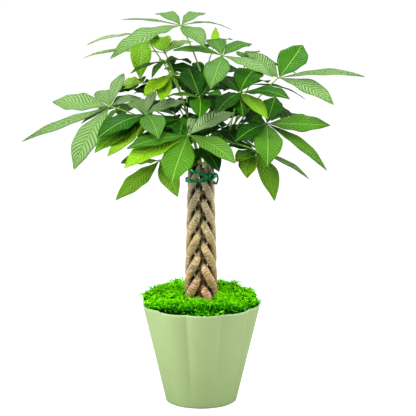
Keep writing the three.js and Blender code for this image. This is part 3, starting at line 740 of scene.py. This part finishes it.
# Leaves
# A stalk leaves the stem at a share of its length and ends at the leaf's hub. A leaf faces up,
# tilted toward a heading. A leaflet is (heading, pitch, length), and then its width, arch, droop
# and sway as shares of that length where they differ from the usual ones. Shades give a leaflet, by
# its order, its own tone, lime and lime at the tip.
# Tone runs from dark to pale: partly the leaves' own colour, partly painted shade deep in the crown and
# painted sheen where a leaflet catches the light.
crowns = {
    "crown_left_low": {"strand": 5, "path": [(-17, -14, 335), (-26, -18, 352)], "leaves": [
        {"at": 0.7, "hub": (-114, -25, 388), "face": (-100, 35), "tone": 0.9,
         "shades": {3: (1.2, 0), 4: (1.2, 0), 5: (1.1, 0)}, "leaflets": [
            (152, 1.7, 88, 0.37, 0.012, 0.03, 0.004), (-161, -15.6, 121, 0.13, 0.02, 0.08, 0.034),
            (-117, -34.9, 111, 0.3, -0.009, 0.06, -0.049), (79, 24.7, 85, 0.19),
            (59, 3.5, 75, 0.3), (106, 11, 70, 0.3)]},
        {"at": 1, "hub": (-68, -50, 382), "face": (-100, 25), "tone": 0.5,
         "shades": {0: (0.72, 0), 1: (1.3, 0), 2: (1.5, 0), 3: (1.0, 0), 4: (0.4, 0), 5: (0.48, 0, 0.3),
                    6: (0.7, 0.8), 7: (0.6, 0.8)}, "leaflets": [
            (-76, -14.5, 75, 0.42), (44, 9.4, 70, 0.32), (80, 20.5, 65, 0.2), (111, 10, 60),
            (-134, -13.5, 86, 0.42), (-132, -20.8, 98, 0.31, -0.009, 0.05, -0.014),
            (-119, -22.6, 100, 0.22, -0.056, 0.03, -0.009), (103, -40, 60, 0.3)]},
        {"at": 0.35, "hub": (-52, -30, 320), "face": (-100, 35), "tone": 0.72, "lime": 0.45, "leaflets": [
            (-128, 6.5, 75, 0.31, 0.006, 0.03, -0.023),
            (-139, -29.5, 83, 0.32, 0.021, 0.03, 0.031), (-69, -27, 75, 0.33)]},
        {"at": 0.9, "hub": (-15, -85, 361), "face": (-90, 30), "tone": 0.62, "lime": 0.12,
         "shades": {2: (1.5, 0), 3: (1.45, 0), 4: (0.5, 0), 5: (0.6, 0.4, 1), 6: (0.6, 0)}, "leaflets": [
            (-103, -26.4, 96, 0.41, -0.032, 0.05, -0.019),
            (-49, -15, 90, 0.32, 0.027, 0.03, 0.027), (46, 14.9, 85, 0.33), (83, 17.2, 60, 0.17),
            (116, 8.9, 75, 0.38), (-139, -14.4, 105, 0.31, -0.017, 0.06, -0.069),
            (-148, -4, 88, 0.27, 0.02, 0.06)]},
        {"at": 0.95, "hub": (-22, -42, 374), "face": (-90, 25), "tone": 0.2, "leaflets": [
            (-15, -4, 58), (-95, -20, 55), (-165, -6, 50)]},
    ]},
    "crown_left": {"strand": 3, "path": [(-14, 10, 360), (-26, 4, 402)], "leaves": [
        {"at": 1, "hub": (-77, 35, 474), "face": (-100, 5), "tone": 0.9,
         "shades": {0: (1.3, 0.2), 1: (0.55, 0.45), 3: (1.2, 0.8)}, "leaflets": [
            (-138, -2.7, 89, 0.12, 0.013, 0.06, -0.013), (-88.9, -38, 81, 0.33),
            (173, -8.6, 63, 0.24, 0.02), (66, -15.2, 60, 0.25)]},
        {"at": 0.9, "hub": (-46, 30, 450), "face": (-100, 15), "tone": 0.8, "lime": 0.3,
         "shades": {0: (1.3, 0.3), 1: (0.6, 0.6)}, "leaflets": [
            (169, 0.2, 110, 0.12, 0.023, 0.1), (107, 11, 74, 0.5), (59, 8.5, 70, 0.3)]},
        {"at": 0.95, "hub": (-45, 5, 442), "face": (-90, 10), "tone": 0.5, "leaflets": [
            (-120, -4, 84, 0.11, 0.021, 0.03, -0.008), (-103, -10.3, 70, 0.13),
            (62, -7.1, 70, 0.34), (85, -12, 60)]},
        {"at": 0.8, "hub": (-74, 25, 412), "face": (-110, 35), "tone": 0.35,
         "shades": {0: (0.7, 0.7)}, "leaflets": [
            (135, -13.7, 55, 0.5), (98, 0.7, 46, 0.3), (60, -10, 65)]},
        {"at": 0.95, "hub": (-38, 0, 423), "face": (-90, 30), "tone": 0.75, "lime": 1.0, "leaflets": [
            (-100, -18.9, 67, 0.27, -0.036, 0.03, -0.031), (-119, -13.6, 70, 0.3), (113, -15, 55),
            (71, 0, 40), (77, -21, 45)]},
        {"at": 0.5, "hub": (-84, 85, 378), "spread": (140, 6, 84, -20), "tone": 0.6},
        {"at": 0.3, "hub": (-42, 84, 352), "spread": (140, 4, 60, -20), "tone": 0.6},
    ]},
    "crown_middle": {"strand": 6, "path": [(0, 2, 370), (0, -6, 428)], "leaves": [
        {"at": 1, "hub": (-25, 5, 487), "face": (-90, 12), "tone": 0.83, "leaflets": [
            (-139, -14.4, 120, 0.3, 0.061, 0.05, 0.03), (157, 4.6, 84, 0.09, 0.017, 0.03, -0.006),
            (115, 7.9, 80, 0.29), (67, 8.1, 80, 0.26), (40, -4.1, 87, 0.09, 0.047, 0.06, 0.024),
            (-69, -11.8, 85, 0.33)]},
        {"at": 0.95, "hub": (27, -25, 452), "face": (-90, 25), "tone": 0.65,
         "shades": {0: (0.68, 0), 1: (0.86, 0)}, "leaflets": [
            (-101, -21.4, 85, 0.38), (-48, -10.6, 94, 0.22, 0.009, 0.03, 0.021),
            (62, 6.5, 85, 0.27), (102, 12, 75, 0.33), (-150, 9, 72, 0.2), (143, 3, 80, 0.2)]},
        {"at": 0.7, "hub": (-1, -60, 404), "face": (-90, 30), "tone": 0.3,
         "shades": {0: (0.42, 0), 1: (0.5, 0.2), 4: (0.42, 0)}, "leaflets": [
            (-90, -11.7, 70, 0.38), (126, -3.9, 75, 0.14), (101, 20, 86, 0.38),
            (72, 13.9, 70, 0.3), (-68, 10.1, 70, 0.3)]},
        {"at": 0.85, "hub": (17, 60, 455), "face": (90, 10), "tone": 0.7, "lime": 0.3,
         "shades": {0: (0.6, 0.9)}, "leaflets": [
            (88, 13.2, 70, 0.15, 0.0, -0.05), (69, 3.2, 70, 0.13), (100, -6, 60, 0.3)]},
        {"at": 0.6, "hub": (-20, 120, 410), "spread": (100, 6, 85, -20), "tone": 0.6},
        {"at": 0.35, "hub": (2, 42, 382), "face": (-90, 10), "tone": 0.2, "leaflets": [
            (20, -8, 50), (80, -12, 55), (140, -8, 55), (-35, 0, 48)]},
    ]},
    "crown_right_low": {"strand": 2, "path": [(22, -14, 335), (40, -14, 350)], "leaves": [
        {"at": 1, "hub": (82, -50, 370), "face": (-80, 38), "tone": 0.6, "lime": 0.1,
         "shades": {3: (0.28, 0), 4: (0.35, 0), 5: (0.4, 0)}, "leaflets": [
            (-8, 0.8, 80, 0.37, 0.023, 0.03, -0.028), (-31, -29.5, 100, 0.16, 0.019, 0.06, 0.031),
            (-91, -28.7, 85, 0.42), (-123, -9.1, 75, 0.3), (125, -3, 60), (77, 24.9, 65, 0.4)]},
        {"at": 0.8, "hub": (69, -20, 331), "face": (-80, 25), "tone": 0.68, "lime": 0.35,
         "shades": {1: (0.9, 0), 2: (0.4, 0, 0.5), 3: (0.6, 0.4, 0.8), 4: (0.3, 0)}, "leaflets": [
            (-73, -31.7, 91, 0.28, 0.035, 0.06, 0.018), (-44, -13.3, 94, 0.1, 0.009, 0.06, 0.041),
            (-116, -4, 60), (-100, -18.1, 71, 0.33, -0.009, 0.03, -0.071), (140, 4, 50)]},
        {"at": 0.9, "hub": (48, -30, 406), "face": (-90, 25), "tone": 0.4,
         "shades": {1: (0.6, 0.4, 0.7), 2: (0.42, 0), 5: (0.4, 0)}, "leaflets": [
            (-114, -12, 75), (-64, -16, 80, 0.26), (-46, 2.2, 87, 0.3, 0.039, 0.05, 0.051),
            (70, 20, 75, 0.5), (109, 14, 65), (-86, -22, 60)]},
        {"at": 0.95, "hub": (98, -5, 422), "face": (-80, 35), "tone": 0.86,
         "shades": {0: (0.62, 0)}, "leaflets": [
            (65, 24.4, 89, 0.42, -0.012, 0.03, -0.005), (-31, 6.1, 121, 0.11, 0.01, 0.05, 0.05),
            (-48, -12.3, 100, 0.27, 0.024, 0.05, 0.048), (118, 17.9, 90, 0.27, 0.011, 0.03, -0.03),
            (132, 8, 60, 0.25)]},
        {"at": 0.3, "hub": (2, -27, 337), "face": (-90, 30), "tone": 0.25, "leaflets": [
            (-72, -16.2, 70, 0.33), (-110, -20, 50), (-42, -7.9, 48, 0.34)]},
    ]},
    "crown_right": {"strand": 0, "path": [(32, 10, 345), (52, 14, 375)], "leaves": [
        {"at": 0.95, "hub": (57, 50, 438), "face": (90, 10), "tone": 0.6, "leaflets": [
            (61, -3, 70, 0.22), (75, 5, 70, 0.26), (91, 5, 60), (10, -14, 72, 0.26)]},
        {"at": 0.85, "hub": (63, 25, 410), "face": (-80, 10), "tone": 0.45, "leaflets": [
            (31, -13.2, 90, 0.14, 0.05, 0.06), (68, -3, 65), (120, -12, 70)]},
        {"at": 0.7, "hub": (98, 66, 370), "spread": (50, 6, 62, -18), "tone": 0.6},
        {"at": 0.5, "hub": (64, 114, 378), "spread": (60, 6, 78, -22), "tone": 0.6},
        {"at": 0.3, "hub": (46, 88, 338), "spread": (65, 5, 60, -20), "tone": 0.6},
        {"at": 0.15, "hub": (10, 105, 340), "spread": (85, 6, 80, -24), "tone": 0.6},
    ]},
}

# Small leaves inside the crown, painted dark as shade, as (share of the stem, hub, heading, count, length,
# pitch)
innerLeaves = {
    "crown_left": [(0.75, (-19, 25, 409), -80, 5, 62, -6), (0.55, (-32, 22, 386), -90, 5, 46, -8),
                   (0.6, (-86, 48, 401), -60, 5, 44, -2)],
    "crown_middle": [(0.45, (26, 20, 391), -100, 5, 62, -8), (0.8, (3, 38, 424), -100, 5, 56, 4)],
    "crown_left_low": [(0.85, (-29, 5, 367), -110, 5, 58, -10), (0.6, (-46, -5, 350), -100, 5, 44, -14)],
    "crown_right_low": [(0.95, (26, 5, 357), -70, 5, 56, -12)],
    "crown_right": [(0.6, (57, 15, 376), -70, 5, 54, -8)],
}

leafForm = {
    "width": 0.37, "arch": 0.05, "droop": 0.03, "sway": 0.0, "fold": 0.14, "thickness": 0.55,
    "columns": 8, "rows": 20, "wave": 0.10, "stray": 0.012, "seed": 11,
    "hub": 2.0, "stalk": (1.1, 0.8), "stem": (2.8, 1.0), "innerFace": (-90, 32), "innerShadeTone": 0.18,
}


def aim(heading, pitch):
    flat = math.cos(math.radians(pitch))
    return Vector((flat * math.cos(math.radians(heading)), flat * math.sin(math.radians(heading)),
                   math.sin(math.radians(pitch))))


def evenLeaflets(heading, count, length, pitch):
    # fan round a heading, shorter and higher toward its sides
    sides = [2 * i / (count - 1) - 1 for i in range(count)]
    return [(heading + 150 * s, pitch + 10 * s * s, length * (1 - 0.3 * s * s)) for s in sides]


def outline(run):
    # width along a leaflet, 1 at its widest
    return run ** 1.5 * max(1 - run, 0) ** 1.3 / 0.1446


def addLeaflet(bm, layers, hub, facing, leaflet, shade, chance):
    usual = (leafForm["width"], leafForm["arch"], leafForm["droop"], leafForm["sway"])
    heading, pitch, length, width, arch, droop, sway = leaflet + usual[len(leaflet) - 3:]
    along = aim(heading, pitch)
    rise = (facing - along * along.dot(facing)).normalized()
    side = rise.cross(along)
    fold = leafForm["fold"] * chance.uniform(0.6, 1.4)
    sway += leafForm["stray"] * chance.uniform(-1, 1)
    waves = chance.uniform(2.2, 3.6)
    fullWave = 6.28
    phases = chance.uniform(0, fullWave), chance.uniform(0, fullWave)

    def shape(across, run):
        u = 2 * across - 1
        half = 0.5 * width * length * outline(run)
        ripple = leafForm["wave"] * half * u * u * math.sin(fullWave * waves * run + phases[u > 0])
        lift = arch * length * math.sin(math.pi * run) + fold * half * abs(u) ** 1.5 + ripple
        lift -= droop * length * run ** 4
        sideways = sway * length * math.sin(math.pi * run) - u * half
        return (hub + along * (length * run) + rise * lift + side * sideways) * mm

    verts = wrapGrid(bm, leafForm["columns"], leafForm["rows"], shape)
    tone, lime, limeTip = shade
    tone = max(tone + chance.uniform(-0.06, 0.06), 0)
    for vert in verts:
        run = min(max(((vert.co / mm - hub).dot(along)) / length, 0), 1)
        vert[layers[0]] = tone
        vert[layers[1]] = between(lime, limeTip, run ** 2)
    closeUp(bm, verts)


leafColors = {
    # the darkest tones also serve as painted shade and the palest, silvery ones as painted sheen
    "tonesShadeToSheen": [(0.0, (0.001, 0.024, 0.0001)), (0.3, (0.006, 0.082, 0.0003)), (0.6, (0.034, 0.17, 0.001)),
              (0.8, (0.060, 0.19, 0.007)), (1.0, (0.120, 0.27, 0.045)), (1.25, (0.14, 0.33, 0.05)),
              (1.5, (0.17, 0.38, 0.07))],
    # youngGlow: the yellow-green of young leaves, partly painted glow of light through them
    "youngGlow": (0.28, 0.58, 0.008), "midrib": (0.26, 0.50, 0.07), "under": (0.13, 0.27, 0.05),
    "silverSheen": (0.43, 0.60, 0.31), "furrowShade": (0.030, 0.13, 0.004), "thread": (0.20, 0.40, 0.05),
    "lit": (0.30, 0.55, 0.04), "stalk": ((0.10, 0.25, 0.02), (0.30, 0.55, 0.06)),
}


def makeLeafFinish(name, under):
    material, tree, shader = newFinish(name, Roughness=0.5 if under else 0.34, Specular_IOR_Level=0.08)
    chart = addNode(tree, "ShaderNodeTexCoord").outputs["UV"]
    place = addNode(tree, "ShaderNodeTexCoord").outputs["Object"]
    lines = useGroup(tree, veins, {"Map": chart, "Pairs": 16.0, "Slant": 2.8})
    worn = useGroup(tree, grain, {"Place": place, "Fine": 900.0, "Broad": 40.0})
    tone = addNode(tree, "ShaderNodeAttribute", attribute_name="tone").outputs["Fac"]
    lime = addNode(tree, "ShaderNodeAttribute", attribute_name="lime").outputs["Fac"]
    patches = times(tree, maths(tree, "SUBTRACT", worn["Patches"], 0.5), 0.3)
    palest = leafColors["tonesShadeToSheen"][-1][0]
    stops = [(share / palest, shade) for share, shade in leafColors["tonesShadeToSheen"]]
    color = colorRamp(tree, maths(tree, "DIVIDE", maths(tree, "ADD", tone, patches), palest), stops)
    # lime: the yellow-green of young leaves, partly painted glow of light through them
    color = paintOver(tree, color, lime, leafColors["youngGlow"])
    if under:
        color = paintOver(tree, color, 0.4, leafColors["under"])
    # pale leaves get painted sheen, silvery between their veins, and painted shade in their vein furrows;
    # dark ones show the veins themselves
    shine = remap(tree, tone, 1.0, 1.4, 0.1 if under else 0.36, 0.9)
    depth = remap(tree, tone, 1.0, 1.4, 0.5, 0.95)
    pale = times(tree, remap(tree, tone, 0.5, 0.95), maths(tree, "SUBTRACT", 1.0, lime, True))
    dark = maths(tree, "SUBTRACT", 1.0, pale)
    color = paintOver(tree, color, times(tree, lines["Relief"], pale, shine), leafColors["silverSheen"])
    color = paintOver(tree, color, times(tree, lines["Veins"], pale, depth), leafColors["furrowShade"])
    color = paintOver(tree, color, times(tree, lines["Veins"], dark, 0.2), leafColors["thread"])
    color = paintOver(tree, color, times(tree, lines["Midrib"], 0.7), leafColors["midrib"])
    tree.links.new(color, shader.inputs["Base Color"])
    relief = maths(tree, "ADD", lines["Relief"], times(tree, worn["Grain"], 0.02))
    bumpInto(tree, shader, relief, -0.0004 if under else 0.0011)
    lit = paintOver(tree, color, 0.6, leafColors["lit"])
    glow = addNode(tree, "ShaderNodeBsdfTranslucent", {"Color": lit})
    mix = addNode(tree, "ShaderNodeMixShader", {0: 0.12, 1: shader.outputs[0], 2: glow.outputs[0]})
    tree.links.new(mix.outputs[0], tree.nodes["Material Output"].inputs["Surface"])
    return material


def makeStalkFinish():
    material, tree, shader = newFinish("greenStalk", Roughness=0.45)
    place = addNode(tree, "ShaderNodeTexCoord").outputs["Object"]
    worn = useGroup(tree, grain, {"Place": place, "Fine": 800.0, "Broad": 45.0})
    dark, bright = leafColors["stalk"]
    color = colorRamp(tree, worn["Patches"], [(0.3, dark), (0.7, bright)])
    tree.links.new(color, shader.inputs["Base Color"])
    bumpInto(tree, shader, worn["Grain"], 0.0002)
    return material


leafTop = makeLeafFinish("leafTop", False)
leafUnder = makeLeafFinish("leafUnder", True)
stalkFinish = makeStalkFinish()


def makeCrown(name, crown, chance):
    blades = startMesh()
    layers = [blades.verts.layers.float.new(kind) for kind in ("tone", "lime")]
    stalks = startMesh()
    foot = strandMiddle(crown["strand"], trunk["top"] - 2)[0]
    stem = [foot, foot + Vector((0, 0, 10))] + [Vector(p) for p in crown["path"]]
    tube(stalks, lambda t: spline(stem, t) * mm, lambda t: between(*leafForm["stem"], t) * mm, 14, 26)
    shaded = {"face": leafForm["innerFace"], "tone": leafForm["innerShadeTone"]}
    inner = [{"at": at, "hub": hub, "spread": spread, **shaded} for at, hub, *spread in innerLeaves[name]]
    for leaf in crown["leaves"] + inner:
        hub = Vector(leaf["hub"])
        heading = math.degrees(math.atan2(hub.y, hub.x))
        heading, tilt = leaf.get("face", (heading, 20))
        facing = aim(heading, 90 - tilt)
        start = spline(stem, leaf["at"])
        bend = (start + hub) / 2 + Vector((0, 0, 0.12 * (hub - start).length))

        def path(t):
            return (start * (1 - t) ** 2 + bend * 2 * t * (1 - t) + hub * t * t) * mm

        tube(stalks, path, lambda t: between(*leafForm["stalk"], t) * mm, 10, 20)
        ball = bmesh.ops.create_uvsphere(stalks, u_segments=12, v_segments=8, radius=leafForm["hub"] * mm)
        knob = ball["verts"]
        bmesh.ops.scale(stalks, verts=knob, vec=(1, 1, 0.8))
        bmesh.ops.translate(stalks, verts=knob, vec=hub * mm)
        leaflets = leaf.get("leaflets") or evenLeaflets(*leaf["spread"])
        for order, leaflet in enumerate(leaflets):
            tone, lime, *tip = leaf.get("shades", {}).get(order, (leaf["tone"], leaf.get("lime", 0)))
            addLeaflet(blades, layers, hub, facing, leaflet, (tone, lime, tip[0] if tip else lime), chance)
    side = name.replace("crown_", "").replace("_", " ").title().replace(" ", "")
    leaves = makePiece(blades, "leaves" + side, [name], [leafTop, leafUnder], outward=False)
    smooth = leaves.modifiers.new("smooth", "SUBSURF")
    smooth.levels = smooth.render_levels = 1
    solid = leaves.modifiers.new("blade", "SOLIDIFY")
    solid.thickness = leafForm["thickness"] * mm
    solid.offset = -1
    solid.material_offset = 1
    makePiece(stalks, "stalks" + side, [name], [stalkFinish])


chance = random.Random(leafForm["seed"])
for name, crown in crowns.items():
    makeCrown(name, crown, chance)
print("leaves hung")


# Floor
def makeFloor():
    material, tree, shader = newFinish("paleFloor", Roughness=0.9, Specular_IOR_Level=0.0)
    shader.inputs["Base Color"].default_value = (*[studio["floorShade"]] * 3, 1)
    shader.inputs["Emission Color"].default_value = (1, 1, 1, 1)
    seen = addNode(tree, "ShaderNodeLightPath").outputs["Is Camera Ray"]
    tree.links.new(times(tree, seen, studio["floorGlow"]), shader.inputs["Emission Strength"])
    bm = startMesh()
    bmesh.ops.create_grid(bm, x_segments=1, y_segments=1, size=studio["floorSize"])
    mesh = bpy.data.meshes.new("floor")
    bm.to_mesh(mesh)
    bm.free()
    mesh.materials.append(material)
    link(bpy.data.objects.new("floor", mesh))


makeFloor()
